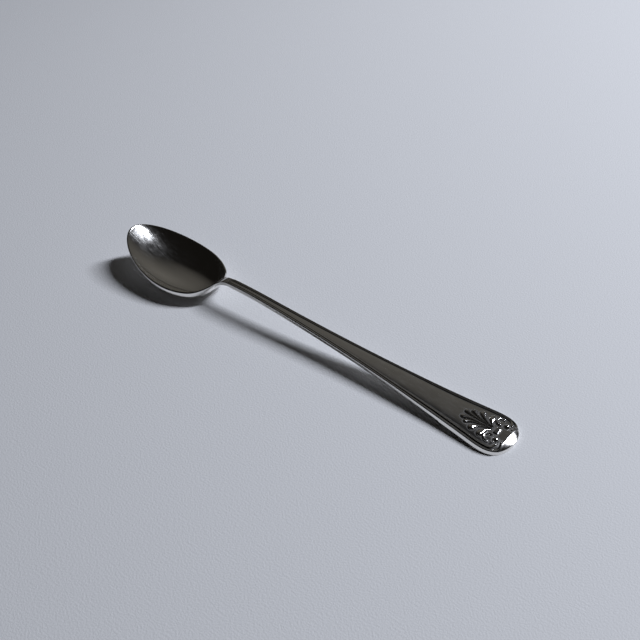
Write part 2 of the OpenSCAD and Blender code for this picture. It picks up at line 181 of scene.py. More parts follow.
class OrnamentSizes(bpy.types.PropertyGroup):
    """Sizes of the palmette, the scrolls, the beads and the clasp."""

    plume_root: length("Plume root", 9.7, "From the handle's end to the roots of the plumes")
    palmette_length: length("Palmette length", 12.2, "From its roots to the first plume's tip")
    palmette_reach: length("Palmette reach", 5.3, "Half width at the last plume's tip")
    plume_count: IntProperty(
        name="Plumes", description="Number of plumes on each side", default=4, min=3, max=5
    )
    plume_width: length("Plume width", 2.6, "Width of a plume at its swollen tip")
    plume_groove: length("Plume groove", 0.12, "Groove between neighbouring plumes")
    plume_height: length("Plume height", 0.6, "Height of a plume at its swollen tip")
    volute_inset: length("Scroll inset", 8.5, "From the handle's end to the middle of the scrolls")
    volute_offset: length("Scroll offset", 4.95, "From the axis to the middle of the scrolls")
    volute_radius: length("Scroll radius", 1.85, "Radius to the middle of the ridge")
    volute_width: length("Scroll width", 0.9, "Width of the scrolls' ridge")
    volute_height: length("Scroll height", 0.65, "Height of the scrolls' ridge")
    bead_inset: length("Bead inset", 5.75, "From the handle's end to the middle of the beads")
    bead_offset: length("Bead offset", 4.25, "From the axis to the middle of the beads")
    bead_diameter: length("Bead diameter", 2.5, "Diameter of the beads")
    bead_height: length("Bead height", 0.95, "Height of the beads")
    clasp_inset: length("Clasp inset", 7.5, "From the handle's end to the middle of the clasp")
    clasp_length: length("Clasp length", 3.6, "Length of the clasp across the handle")
    clasp_width: length("Clasp width", 1.9, "Width of the clasp along the handle")
    clasp_height: length("Clasp height", 0.55, "Height of the clasp")


class FinishSettings(bpy.types.PropertyGroup):
    """Colours and polish of the silver."""

    silver: tone("Silver", "#F0EEEA", "Polished silver plate")
    # This dark colour is partly tarnished silver and partly painted shade, mixed in at the ridges' feet and
    # in the grooves, where shade falls.
    tarnish_and_shade: tone("Tarnish", "#24211E", "Darkened silver left in the recesses")
    bowl_roughness: share("Bowl roughness", 0.085, "Roughness of the buffed bowl")
    handle_roughness: share("Handle roughness", 0.15, "Roughness of the polished handle")
    relief_roughness: share("Relief roughness", 0.13, "Roughness of the struck ornament")


class StageSettings(bpy.types.PropertyGroup):
    """Table, light and camera."""

    table: tone("Table", "#DEDEDE", "Pale matt table")
    window: tone("Window light", "#EEF3FF", "Cool daylight of the window")
    wall: tone("Wall light", "#FFFAF0", "Warm weak light of the wall behind the spoon")
    room: tone("Room light", "#FFF4E6", "Warm weak light of the room")
    window_power: power("Window power", 26.5, "Power of the window's light")
    window_size: sides("Window size", (180.0, 700.0), "Width and height of the window")
    window_place: bearings("Window place", (65.0, 50.0), "Bearing and rise of the window from the aim")
    window_distance: length("Window distance", 1600.0, "Distance from the aim to the window's middle")
    wall_power: power("Wall power", 0.3, "Power of the wall's light")
    wall_size: sides("Wall size", (800.0, 1120.0), "Width and height of the lit wall")
    wall_place: bearings("Wall place", (128.0, 29.7), "Bearing and rise of the wall from the aim")
    wall_distance: length("Wall distance", 575.0, "Distance from the aim to the wall's middle")
    lamp_aim: point("Lamp aim", (100.0, 0.0, 0.0), "Point on the table from which the lamps are placed")
    room_strength: FloatProperty(
        name="Room strength", description="Strength of the room's light", default=0.006, min=0.0
    )
    view_bearing: angle("View bearing", 127.81, "Direction the camera looks, from +X towards +Y")
    view_fall: angle("View fall", 38.91, "How steeply the camera looks down")
    view_distance: length("View distance", 430.75, "Distance from the camera to the point it looks at")
    view_target: point("View target", (-2.96, 14.75, 0.0), "Point on the table that the camera looks at")
    view_lens: FloatProperty(
        name="Lens", description="Focal length of the camera", default=56.25, unit="CAMERA"
    )


class SpoonSettings(bpy.types.PropertyGroup):
    """Everything that the spoon's panel offers."""

    bowl: PointerProperty(type=BowlSizes)
    handle: PointerProperty(type=HandleSizes)
    threads: PointerProperty(type=ThreadSizes)
    ornament: PointerProperty(type=OrnamentSizes)
    finish: PointerProperty(type=FinishSettings)
    stage: PointerProperty(type=StageSettings)


# Curves

def mix(a, b, t):
    """The value a share t of the way from a to b."""
    return a + (b - a) * t


def ease(t):
    """A smooth step from 0 to 1."""
    return t * t * (3 - 2 * t)


def past(x, start, run):
    """How far x is past start, in runs, and 0 before it."""
    return np.maximum(0.0, (x - start) / run)


def hermite(z0, m0, z1, m1, run, t):
    """A curve from z0 to z1 over a run, with slopes m0 and m1 at its ends."""
    return z0 * (1 - ease(t)) + z1 * ease(t) + run * t * (1 - t) ** 2 * m0 - run * t * t * (1 - t) * m1


def bezier(points, t):
    """A cubic curve through the first and the last of four points."""
    t = np.asarray(t, float)[:, None]
    a, b, c, d = (np.asarray(p, float) for p in points)
    return (1 - t) ** 3 * a + 3 * (1 - t) ** 2 * t * b + 3 * (1 - t) * t * t * c + t ** 3 * d


def chain(places, steps):
    """Values from each place to the next in so many steps, without the last place."""
    spans = zip(places, places[1:], steps)
    return np.concatenate([np.linspace(a, b, n, endpoint=False) for a, b, n in spans])


def unit(v):
    """The direction of each row of v."""
    return v / np.linalg.norm(v, axis=-1, keepdims=True)


def left_of(v):
    """The direction to the left of each row of v, in plan."""
    return unit(np.stack([-v[:, 1], v[:, 0]], 1))


def circle(turn):
    """The directions at turns from +X towards +Y, in plan."""
    return np.column_stack([np.cos(turn), np.sin(turn)])


class BowlShape:
    """The bowl's outline, rim and dish, from the panel's sizes."""

    # Shares and lengths that draw the outline's curves
    TIP_BLUNTNESS = 0.48
    TIP_SWELL = 0.53
    HEEL_SWELL = 0.55
    HEEL_DRAW = (3.3 * MM, 6.6 * MM)
    # Share of the length at which the rim's straight line ends
    BACK_SHARE = 0.916
    # Powers and spread of the dish's sections, and powers of the rim's broken edge
    SECTION_POWER = 2.3
    HOLLOW_SPREAD = 1.15
    TIP_POWER = 2
    HEEL_POWER = 3
    BREAK_POWER = 6
    BREAK_FADE = 36
    # Steps of the mesh
    CURVE_STEPS = 56
    HEEL_STEPS = 8
    DISH_RINGS = 36
    EDGE_STEPS = 3
    RIM_STEPS = 12
    AXIS_STEPS = 400
    TINY = 1e-9

    def __init__(self, sizes):
        self.sizes = sizes
        self.x_tip = BOWL_LOW.x
        self.x_heel = self.x_tip + sizes.length
        self.x_deep = self.x_tip + sizes.deepest
        self.middle = np.array([self.x_deep, 0.0])
        self.outer = self.outline()
        self.inner = self.outer - sizes.rim_wall * unit(self.outer - self.middle)
        x = np.linspace(self.x_deep, self.x_heel, self.AXIS_STEPS)
        self.rim_base = -(self.rim_lift(x) - self.axis_outside(x)).min() - sizes.wear

    def rim_lift(self, x):
        """Height of the rim above its base at x."""
        s = self.sizes
        u = (x - self.x_tip) / (self.BACK_SHARE * s.length)
        sweep = s.heel_sweep * past(x, self.x_heel - s.sweep_run, s.sweep_run) ** 2
        return s.tip_lift * (1 - u) - 4 * s.rim_sag * u * (1 - u) + sweep

    def oval(self, f):
        """Depth of a full oval section at a share f of its half width."""
        return np.maximum(1 - f ** self.SECTION_POWER, 0) ** (1 / self.SECTION_POWER)

    def dish(self, plan, edge, spread):
        """How far a dish inside an edge lies below the rim.
        Its section is part of an oval that is wider by the spread."""
        side = edge[edge[:, 1] >= 0]
        side = side[np.argsort(side[:, 0], kind="stable")]
        x, y = plan[:, 0], np.abs(plan[:, 1])
        ahead = np.clip((self.x_deep - x) / (self.x_deep - side[0, 0]), 0, 1)
        behind = np.clip((x - self.x_deep) / (side[-1, 0] - self.x_deep), 0, 1)
        deepening = 1 - ahead ** self.TIP_POWER - behind ** self.HEEL_POWER
        f = np.clip(y / np.maximum(np.interp(x, side[:, 0], side[:, 1]), self.TINY), 0, 1)
        least = self.oval(1 / spread)
        return self.sizes.depth * deepening * (self.oval(f / spread) - least) / (1 - least)

    def hollow(self, plan):
        """How far the hollow lies below the rim."""
        return self.dish(plan, self.inner, self.HOLLOW_SPREAD)

    def outside(self, plan, r):
        """How far the outside lies below the rim at a share r of the way from the middle to the rim."""
        return self.dish(plan, self.outer, 1) + self.shell(r)

    def shell(self, r):
        """Depth of the metal at a share r of the way from the middle to the rim."""
        return mix(self.sizes.wall, self.sizes.rim_edge, r * r)

    def axis_outside(self, x):
        """How far the outside lies below the rim along the middle, behind the deepest place."""
        r = (x - self.x_deep) / (self.x_heel - self.x_deep)
        return self.outside(np.column_stack([x, 0 * x]), r)

    def underside(self, x):
        """Height of the outside along the middle, behind the deepest place."""
        x = np.atleast_1d(x)
        return (self.rim_base + self.rim_lift(x) - self.axis_outside(x))[0]

    def outline(self):
        """The rim in plan, from the tip round the +Y side to the heel and back."""
        s = self.sizes
        half, heel = s.width / 2, s.heel_width / 2
        front = [
            [0, 0], [0, self.TIP_BLUNTNESS * half],
            [s.widest * (1 - self.TIP_SWELL), half], [s.widest, half],
        ]
        back = [
            [s.widest, half], [mix(s.widest, s.length, self.HEEL_SWELL), half],
            [s.length - self.HEEL_DRAW[0], heel + self.HEEL_DRAW[1]], [s.length, heel],
        ]
        t = np.linspace(0, 1, self.CURVE_STEPS, endpoint=False)
        across = np.linspace(heel, 0, self.HEEL_STEPS)
        edge = np.stack([np.full_like(across, s.length), across], 1)
        side = np.concatenate([bezier(front, t), bezier(back, t), edge])
        other = side[-2:0:-1] * [1, -1]
        return np.concatenate([side, other]) + [self.x_tip, 0]

    def hung(self, plan, fall):
        """Points over a plan that lie a fall below the rim, but not below the table."""
        return np.column_stack([plan, np.maximum(self.rim_base + self.rim_lift(plan[:, 0]) - fall, 0.0)])

    def rings(self):
        """The skin: outside from the middle, up the edge, over the round rim, and inside to the middle."""
        s = self.sizes
        radii = np.sin(np.linspace(0, np.pi / 2, self.DISH_RINGS + 1))[1:]
        skin = []
        for r in radii:
            plan = mix(self.middle, self.outer, r)
            skin.append(self.hung(plan, self.outside(plan, r)))
        for t in np.linspace(0, 1, self.EDGE_STEPS + 1)[1:]:
            skin.append(self.hung(self.outer, mix(s.rim_edge, s.rim_round, t)))
        for t in np.linspace(0, 1, self.RIM_STEPS + 1)[1:-1]:
            fall = s.rim_round * (1 - math.sqrt(1 - (1 - t) ** 2)) + s.rim_break * t ** self.BREAK_POWER
            skin.append(self.hung(mix(self.outer, self.inner, t), fall))
        for r in radii[::-1]:
            plan = mix(self.middle, self.inner, r)
            skin.append(self.hung(plan, self.hollow(plan) + s.rim_break * r ** self.BREAK_FADE))
        poles = [self.hung(self.middle[None], fall)[0] for fall in (s.depth + s.wall, s.depth)]
        return np.array(skin), poles


class HandleShape:
    """The handle's side view, plan and crowned top, from the panel's sizes."""

    # Slopes of the top and of the underside where the neck leaves the heel
    STEM_RISE = 0.8
    ROOT_RISE = 0.7
    # Powers of the plan, of its rounded end and of the crowned top
    FLARE_POWER = 2.2
    END_FULLNESS = 2.1
    END_SHARPNESS = 3
    CROWN_POWER = 3.5
    CROWN_GROWTH = 1.5
    # Least scale of the border, and how fast it grows with the width
    BORDER_LEAST = 0.7
    BORDER_GROWTH = 2.5
    # The wall's share of the stem's thickness, and the share of the wall's lean that is taken at its top
    STEM_WALL = 0.85
    LEAN_SHARE = 0.3
    # Width of the tongue's point, how it deepens, how far it is let in, and where its last section stands
    TONGUE_POINT = 2.0 * MM
    TONGUE_POWER = 4
    TONGUE_SINK = 0.4 * MM
    TONGUE_LAST = 0.8
    # Steps of the mesh, and where its last section stands in the rounded end
    TOP_STEPS = 40
    TOP_EVENNESS = 0.6
    MARGIN_STEPS = 5
    WALL_STEPS = 3
    UNDER_STEPS = 28
    TONGUE_STEPS = 16
    SPAN_STEPS = (30, 36, 110, 32, 34)
    END_STEPS = (36, 24)
    END_TRIM = 0.999
    TINY = 1e-6

    def __init__(self, settings):
        self.bowl = BowlShape(settings.bowl)
        self.sizes = s = settings.handle
        self.margin_size = settings.threads.margin
        self.x_heel = self.bowl.x_heel
        self.x_end = -self.bowl.x_tip
        self.x_crest = self.x_heel + s.crest_run
        self.x_knee = self.x_crest + s.knee_run
        self.x_plane = self.x_end - s.plane_length
        self.x_toe = self.x_plane - s.toe_run
        self.x_round = self.x_end - s.end_round
        self.x_slim = self.x_heel + s.shoulder_run
        self.x_lip = self.x_end - s.lip_length
        self.root_top = self.bowl.rim_base + self.bowl.rim_lift(self.x_heel) - s.heel_step
        self.root_low = self.root_top - s.root_thickness
        self.plane_fall = math.tan(s.plane_slope)
        self.plane_top = s.end_height + s.plane_length * self.plane_fall
        drop = s.crest_height - self.plane_top - self.plane_fall * s.toe_run / 2
        self.stem_fall = drop / (self.x_toe - self.x_crest - s.knee_run / 2 + s.toe_run / 2)

    def panel_height(self, x):
        """Height of the top along the middle."""
        s = self.sizes
        knee = s.crest_height - self.stem_fall * s.knee_run / 2
        toe = self.plane_top + (self.stem_fall + self.plane_fall) * s.toe_run / 2
        bend = (self.stem_fall - self.plane_fall) * (self.x_plane - x) ** 2 / (2 * s.toe_run)
        plane = self.plane_top - self.plane_fall * (x - self.x_plane)
        return np.select(
            [x < self.x_crest, x < self.x_knee, x < self.x_toe, x < self.x_plane],
            [
                hermite(self.root_top, self.STEM_RISE, s.crest_height, 0, s.crest_run, self.up_neck(x)),
                s.crest_height - self.stem_fall * (x - self.x_crest) ** 2 / (2 * s.knee_run),
                mix(knee, toe, (x - self.x_knee) / (self.x_toe - self.x_knee)),
                plane + bend,
            ],
            plane,
        )

    def up_neck(self, x):
        """Share of the way from the heel to the crest."""
        return (x - self.x_heel) / self.sizes.crest_run

    def along(self, x):
        """Share of the way from the crest to the plane of the ornament."""
        return np.clip((x - self.x_crest) / (self.x_plane - self.x_crest), 0, 1)

    def underside(self, x):
        """Height of the rounded underside along the middle."""
        s = self.sizes
        steepness = (self.panel_height(x + self.TINY) - self.panel_height(x)) / self.TINY
        thick = mix(s.stem_thickness, s.thickness, self.along(x)) * np.sqrt(1 + steepness ** 2)
        low = s.crest_height - s.stem_thickness
        neck = hermite(self.root_low, self.ROOT_RISE, low, 0, s.crest_run, self.up_neck(x))
        return np.where(x > self.x_crest, self.panel_height(x) - thick, neck)

    def wall(self, x):
        """Height of the side wall."""
        s = self.sizes
        stem = s.stem_thickness * self.STEM_WALL
        neck = mix(s.root_wall, stem, self.up_neck(x))
        return np.where(x > self.x_crest, mix(stem, s.wall_height, self.along(x)), neck)

    def flare(self, x):
        """Half the width without its shoulders and its rounded end."""
        s = self.sizes
        grown = past(x, self.x_slim, self.x_round - self.x_slim) ** self.FLARE_POWER
        return mix(s.stem_width, s.width, grown) / 2

    def half_width(self, x):
        """Half the width in plan."""
        s = self.sizes
        shoulder = (s.shoulder_width - s.stem_width) / 2 * past(-x, -self.x_slim, s.shoulder_run) ** 2
        rest = 1 - np.minimum(1, past(x, self.x_round, s.end_round)) ** self.END_SHARPNESS
        return (self.flare(x) + shoulder) * rest ** (1 / self.END_FULLNESS)

    def border(self, x):
        """Scale of the border's threads, which are finer along the stem."""
        return np.clip(self.BORDER_GROWTH * self.flare(x) / self.sizes.width, self.BORDER_LEAST, 1)

    def margin(self, x):
        """Width of the rounded margin at the edge."""
        return self.margin_size * self.border(x)

    def top_at(self, x, y):
        """Height of the crowned top at a place in plan."""
        s = self.sizes
        crown = s.edge_fall * (2 * self.flare(x) / s.width) ** self.CROWN_GROWTH
        f = np.minimum(1, np.abs(y) / (self.half_width(x) - self.margin(x)))
        lip = past(x, self.x_lip, s.lip_length)
        return self.panel_height(x) - mix(crown * f ** self.CROWN_POWER, s.lip_fall, lip)

    def section(self, x):
        """Points round the handle at x: up the +Y wall, over the top, down the -Y wall and back below.
        Along the stem the wall is undercut, and towards the broad end it leans in."""
        w, m = self.half_width(x), self.margin(x)
        f = np.sin(np.linspace(np.pi / 2, -np.pi / 2, 2 * self.TOP_STEPS + 1))
        f = mix(f, np.linspace(1, -1, len(f)), self.TOP_EVENNESS)
        y = f * (w - m)
        top = np.column_stack([y, self.top_at(np.full_like(y, x), y)])
        edge = top[0, 1]
        foot = edge - self.wall(x)
        lean = mix(-self.sizes.stem_undercut, self.sizes.wall_lean, self.along(x) ** 2)
        upper, lower = w - self.LEAN_SHARE * lean, w + (1 - self.LEAN_SHARE) * lean
        turn = np.linspace(0, np.pi / 2, self.MARGIN_STEPS, endpoint=False)
        corner = np.column_stack([mix(w - m, upper, np.cos(turn)), edge - m + m * np.sin(turn)])
        rise = np.linspace(0, 1, self.WALL_STEPS, endpoint=False)
        wall = np.column_stack([mix(lower, upper, rise), mix(foot, edge - m, rise)])
        side = np.concatenate([wall, corner])
        turn = np.linspace(np.pi, 2 * np.pi, self.UNDER_STEPS + 1)[1:-1]
        under = np.column_stack([lower * np.cos(turn), mix(foot, self.underside(x), -np.sin(turn))])
        ring = np.concatenate([side, top, side[::-1] * [-1, 1], under])
        return np.column_stack([np.full(len(ring), x), ring])

    def top_points(self):
        """Where the points of the top stand in a section's ring."""
        first = self.WALL_STEPS + self.MARGIN_STEPS
        return slice(first, first + 2 * self.TOP_STEPS + 1)

    def tongue(self, t):
        """Points round the tongue that is brazed under the bowl, at a share t of its length."""
        s, b = self.sizes, self.bowl
        x = self.x_heel - s.tongue_length * (1 - t)
        full = b.underside(self.x_heel) - self.root_low
        low = b.underside(x) + self.TONGUE_SINK * (1 - t) - full * t ** self.TONGUE_POWER
        high = b.underside(x) + b.sizes.wall / 2
        w = mix(self.TONGUE_POINT, s.shoulder_width, t) / 2
        ring = self.section(self.x_heel)
        ring[:, 0] = x
        ring[:, 1] *= w / self.half_width(self.x_heel)
        foot = mix(high, low, s.root_wall / s.root_thickness)
        flat = ring[:, 2] >= self.root_top - s.root_wall
        deep = np.clip((ring[:, 2] - self.root_low) / (self.root_top - s.root_wall - self.root_low), 0, 1)
        ring[:, 2] = np.where(flat, high, mix(low, foot, deep))
        return ring

    def stations(self):
        """Places along the handle, closer together where it bends."""
        bends = [self.x_heel, self.x_crest, self.x_knee, self.x_toe, self.x_plane, self.x_round]
        last = mix(self.x_round, self.x_end, self.END_TRIM)
        lip_turn = math.asin((self.x_lip - self.x_round) / self.sizes.end_round)
        turns = chain([0, lip_turn, np.pi / 2], self.END_STEPS)
        cap = self.x_round + self.sizes.end_round * np.sin(turns)
        return np.concatenate([chain(bends, self.SPAN_STEPS), cap[cap < last], [last]])

    def rings(self):
        """The whole skin, from the tongue's point to the handle's end."""
        tongue = [self.tongue(t) for t in np.linspace(0, self.TONGUE_LAST, self.TONGUE_STEPS)]
        skin = np.array(tongue + [self.section(x) for x in self.stations()])
        skin[:, :, 2] = np.maximum(skin[:, :, 2], 0.0)
        return skin


def clear_of_tarnish_and_shade(gap, reach):
    """How clear the silver is at a gap from a ridge's foot: darkened at the foot with tarnished silver and
    painted shade, clear from a reach on.
    """
    return ease(np.clip(gap / reach, 0, 1))


class Ridge:
    """A ridge on the handle's top, along a path in plan with a half width and a height at each point.
    Its section is an oval at a power of 2, and the flatter on top the higher the power is.
    A flat top rises a little to the side that its directions across point to."""

    STEPS = 14
    ROUND = 2
    FLAT = 10
    FLAT_TILT = 0.12
    SINK = 0.08 * MM
    # Reach over which a ridge's sides are darkened towards its feet with tarnished silver and painted shade
    SHADE_AND_TARNISH_REACH = 0.05 * MM

    def __init__(self, handle, path, across, half, height, power=ROUND):
        self.handle = handle
        self.path = path
        self.across = across
        self.half = half
        self.height = height
        self.power = power

    def feet(self):
        """Where the ridge's two sides meet the top, in plan."""
        reach = self.across * self.half[:, None]
        return np.concatenate([self.path + reach, self.path - reach])

    def rings(self):
        """Sections of the ridge, with its base sunk a little into the top."""
        reach = np.cos(np.linspace(0, np.pi, self.STEPS + 1))
        rise = (1 - np.abs(reach) ** self.power) ** (1 / self.power)
        reach = np.concatenate([[1], reach, [-1]])
        rise = np.concatenate([[0], rise, [0]])
        sink = np.zeros_like(rise)
        sink[[0, -1]] = self.SINK
        plan = self.path[:, None] + (self.across * self.half[:, None])[:, None] * reach[None, :, None]
        foot = self.handle.top_at(plan[:, :, 0], plan[:, :, 1])
        crest = self.handle.top_at(self.path[:, 0], self.path[:, 1]) + self.height
        tilt = self.FLAT_TILT if self.power == self.FLAT else 0.0
        z = mix(foot, crest[:, None] + tilt * self.half[:, None] * reach[None], rise[None]) - sink[None]
        return np.concatenate([plan, z[:, :, None]], 2)

    def clean_unshaded(self):
        """How clear each point of the rings is: darkened at the ridge's feet with tarnished silver and
        painted shade.
        """
        turn = np.linspace(0, np.pi, self.STEPS + 1)
        inward = np.concatenate([[0], 1 - np.abs(np.cos(turn)), [0]])
        return clear_of_tarnish_and_shade(self.half[:, None] * inward[None], self.SHADE_AND_TARNISH_REACH).ravel()

    def mirrored(self):
        """The same ridge on the -Y side."""
        flip = [1, -1]
        return Ridge(self.handle, self.path * flip, self.across * flip, self.half, self.height, self.power)


def along_path(path):
    """Distance along a path, and the direction across it, at each of its points."""
    step = np.linalg.norm(np.diff(path, axis=0), axis=1)
    way = np.gradient(path, axis=0)
    return np.concatenate([[0], np.cumsum(step)]), left_of(way)


class Relief:
    """The ridges that stand on the handle's top."""

    # Runs over which the ridges rise, taper and end, and the least scale at their ends
    FADE_RUN = 2.0 * MM
    HOOK_TAPER_RUN = 1.2 * MM
    SCROLL_TAPER_RUN = 0.5 * MM
    TIP_LEAST = 0.12
    # A hook's inset from the end where it leaves the edge, its gap to the bead and its bearing on the bead
    OUTER_HOOK = (4.6 * MM, 0.65 * MM, math.radians(-22))
    INNER_HOOK = (6.6 * MM, 0.3 * MM, math.radians(40))
    HOOK_REACH = 0.45
    # The first plume's place in the fan, the fan's angle, the plumes' roots and where their lines bend
    PLUME_FIRST = 0.84
    PLUME_FAN = math.radians(81)
    ROOT_SPREAD = 0.25 * MM
    ROOT_START = 0.8
    PLUME_BEND = (0.8, 0.28)
    CAP_ANGLE = math.radians(87)
    # Half the angle of a scroll's gap, the clasp's narrowing ends, and how deep a bead is let in
    SCROLL_GAP = math.radians(62)
    CLASP_TAPER = 0.6
    CLASP_POWER = 6
    BEAD_SINK = 0.15 * MM
    # Steps of the mesh
    HOOK_STEPS = 40
    PLUME_STEPS = 36
    CAP_STEPS = 12
    SCROLL_STEPS = 64
    CLASP_STEPS = 32
    BEAD_RINGS = 16
    BEAD_SIDES = 48

    def __init__(self, settings):
        self.handle = HandleShape(settings)
        self.threads = settings.threads
        self.ornament = settings.ornament
        inset, offset = settings.ornament.bead_inset, settings.ornament.bead_offset
        self.bead = np.array([self.handle.x_end - inset, offset])

    def edge_point(self, x, inset):
        """A place at an inset from the handle's +Y edge."""
        h = self.handle
        return np.stack([x, h.half_width(x) - inset * h.border(x)], -1)

    def round_tip(self, rest, run):
        """Scale of a ridge at a distance from its end, which is rounded over a run."""
        t = np.clip(rest / run, 0, 1)
        return np.maximum(self.TIP_LEAST, np.sqrt(1 - (1 - t) ** 2))

    def thread(self, inset, hook):
        """One thread: along the edge, and then hooked round the bead."""
        h, t = self.handle, self.threads
        bend, gap, angle = hook
        x_from = h.x_end - bend
        x = h.stations()
        x = x[(x >= h.x_heel + t.start) & (x < x_from)]
        edge = self.edge_point(x, inset)
        start = self.edge_point(np.array(x_from), inset)
        way = unit(self.edge_point(np.array(x_from + h.TINY), inset) - start)
        facing = np.array([math.cos(angle), math.sin(angle)])
        end = self.bead + (self.ornament.bead_diameter / 2 + gap + t.width / 2) * facing
        end_way = np.array([math.sin(angle), -math.cos(angle)])
        reach = self.HOOK_REACH * np.linalg.norm(end - start)
        curve = [start, start + reach * way, end - reach * end_way, end]
        path = np.concatenate([edge, bezier(curve, np.linspace(0, 1, self.HOOK_STEPS))])
        run, across = along_path(path)
        scale = np.where(np.arange(len(path)) < len(edge), h.border(path[:, 0]), 1.0)
        fade = ease(np.clip(run / self.FADE_RUN, self.TIP_LEAST, 1))
        tip = self.round_tip(run[-1] - run, self.HOOK_TAPER_RUN)
        half = t.width / 2 * scale * tip
        height = t.height * scale * fade * tip
        return Ridge(h, path, across, half, height, Ridge.FLAT)

    def thread_insets(self):
        """Insets of the outer and the inner thread from the edge."""
        t = self.threads
        outer = t.margin + t.width / 2
        return outer, outer + t.width + t.groove

    def outer_thread(self):
        """The thread next to the edge."""
        return self.thread(self.thread_insets()[0], self.OUTER_HOOK)

    def inner_thread(self):
        """The thread inside it."""
        return self.thread(self.thread_insets()[1], self.INNER_HOOK)

    def plume_line(self, k):
        """Middle line of plume k, from its root at the clasp to its tip."""
        o = self.ornament
        root = np.array([self.handle.x_end - o.plume_root, self.ROOT_SPREAD * (k + self.ROOT_START)])
        angle = self.PLUME_FAN / o.plume_count * (k + self.PLUME_FIRST)
        tip = np.array([root[0] - o.palmette_length * math.cos(angle), o.palmette_reach * math.sin(angle)])
        bend = mix(root, tip, np.array(self.PLUME_BEND))
        t = np.linspace(0, 1, self.PLUME_STEPS + 1)[:, None]
        return (1 - t) ** 2 * root + 2 * t * (1 - t) * bend + t * t * tip

    def plume_room(self, k, line):
        """Room across plume k at each of its points, up to the middle lines of its neighbours."""
        o = self.ornament
        room = 2 * line[:, 1] if k == 0 else nearest(line, self.plume_line(k - 1))
        if k == o.plume_count - 1:
            return np.minimum(room, o.plume_width + o.plume_groove)
        return np.minimum(room, nearest(line, self.plume_line(k + 1)))

    def plume(self, k):
        """Plume k: as wide as the room between its neighbours, up to its full width, with a round tip."""
        o = self.ornament
        line = self.plume_line(k)
        half = np.minimum(o.plume_width, self.plume_room(k, line) - o.plume_groove) / 2
        out = unit(line[-1] - line[-2])
        r = half[-1]
        turn = np.linspace(0, self.CAP_ANGLE, self.CAP_STEPS + 1)[1:]
        path = np.concatenate([line, line[-1] + out * (r * np.sin(turn))[:, None]])
        across = np.concatenate([along_path(line)[1], np.tile(left_of(out[None]), (self.CAP_STEPS, 1))])
        height = o.plume_height * np.concatenate([np.sqrt(half / r), np.sqrt(np.cos(turn))])
        return Ridge(self.handle, path, across, np.concatenate([half, r * np.cos(turn)]), height)

    def plumes(self):
        """Every plume of the palmette."""
        one_side = [self.plume(k) for k in range(self.ornament.plume_count)]
        return one_side + [p.mirrored() for p in one_side]

    def volute(self):
        """One scroll: an open ring whose gap faces the bead."""
        o = self.ornament
        turn = np.linspace(self.SCROLL_GAP, 2 * np.pi - self.SCROLL_GAP, self.SCROLL_STEPS + 1)
        way = circle(turn)
        path = np.array([self.handle.x_end - o.volute_inset, o.volute_offset]) + o.volute_radius * way
        run = along_path(path)[0]
        tip = self.round_tip(np.minimum(run, run[-1] - run), self.SCROLL_TAPER_RUN)
        return Ridge(self.handle, path, -way, o.volute_width / 2 * tip, o.volute_height * tip)

    def clasp(self):
        """The small band across the handle that ties the scrolls and the plumes."""
        o = self.ornament
        t = np.sin(np.linspace(-np.pi / 2, np.pi / 2, self.CLASP_STEPS + 1))
        taper = np.sqrt(1 - self.CLASP_TAPER * t ** self.CLASP_POWER)
        path = np.column_stack([np.full_like(t, self.handle.x_end - o.clasp_inset), t * o.clasp_length / 2])
        across = np.tile([-1.0, 0.0], (len(t), 1))
        half = o.clasp_width / 2 * taper
        height = o.clasp_height * taper
        return Ridge(self.handle, path, across, half, height, Ridge.FLAT)

    def bead_rings(self, side):
        """One bead: a round cap, from its sunk base to its top."""
        o = self.ornament
        r = o.bead_diameter / 2
        ball = (r * r + o.bead_height ** 2) / (2 * o.bead_height)
        centre = np.array([self.bead[0], side * self.bead[1]])
        base = self.handle.top_at(centre[:1], centre[1:])[0] + o.bead_height - ball
        lowest = math.asin((ball - o.bead_height - self.BEAD_SINK) / ball)
        rings = []
        for a in np.linspace(lowest, np.pi / 2, self.BEAD_RINGS, endpoint=False):
            ring = ball * math.cos(a) * self.bead_round() + centre
            rings.append(np.column_stack([ring, np.full(len(ring), base + ball * math.sin(a))]))
        return np.array(rings), np.append(centre, base + ball)

    def bead_round(self):
        """Directions all round a bead, in plan."""
        return circle(np.linspace(0, 2 * np.pi, self.BEAD_SIDES, endpoint=False))

    def feet(self):
        """Points along the feet of all the ridges and beads, in plan."""
        one_side = [self.outer_thread(), self.inner_thread(), self.volute()]
        ridges = one_side + [r.mirrored() for r in one_side] + self.plumes() + [self.clasp()]
        ring = self.ornament.bead_diameter / 2 * self.bead_round()
        beads = [ring + self.bead * [1, side] for side in (1, -1)]
        return np.concatenate([r.feet() for r in ridges] + beads)


def nearest(points, line):
    """Distance from each point to a line of points."""
    start, way = line[:-1], np.diff(line, axis=0)
    t = ((points[:, None] - start) * way).sum(2) / (way * way).sum(1)
    foot = start + np.clip(t, 0, 1)[:, :, None] * way
    return np.linalg.norm(points[:, None] - foot, axis=2).min(1)


# Meshes

CREASE = math.radians(40)


def add_object(name, data):
    """Adds an object to the scene."""
    item = bpy.data.objects.new(name, data)
    bpy.context.scene.collection.objects.link(item)
    return item


def skin_faces(rings, first, last, offset):
    """Faces round a stack of rings, closed at each end by a point if one is given, or else by a flat face.
    The points follow the rings, and offset is the number of the first of them all."""
    m, n = rings.shape[:2]
    faces = []
    for i in range(m - 1):
        a = offset + i * n
        faces += [(a + j, a + (j + 1) % n, a + n + (j + 1) % n, a + n + j) for j in range(n)]
    pole = offset + m * n
    for start, end_point in ((offset, first), (offset + (m - 1) * n, last)):
        if end_point is None:
            faces.append(tuple(range(start, start + n)))
        else:
            faces += [(start + j, start + (j + 1) % n, pole) for j in range(n)]
            pole += 1
    return faces


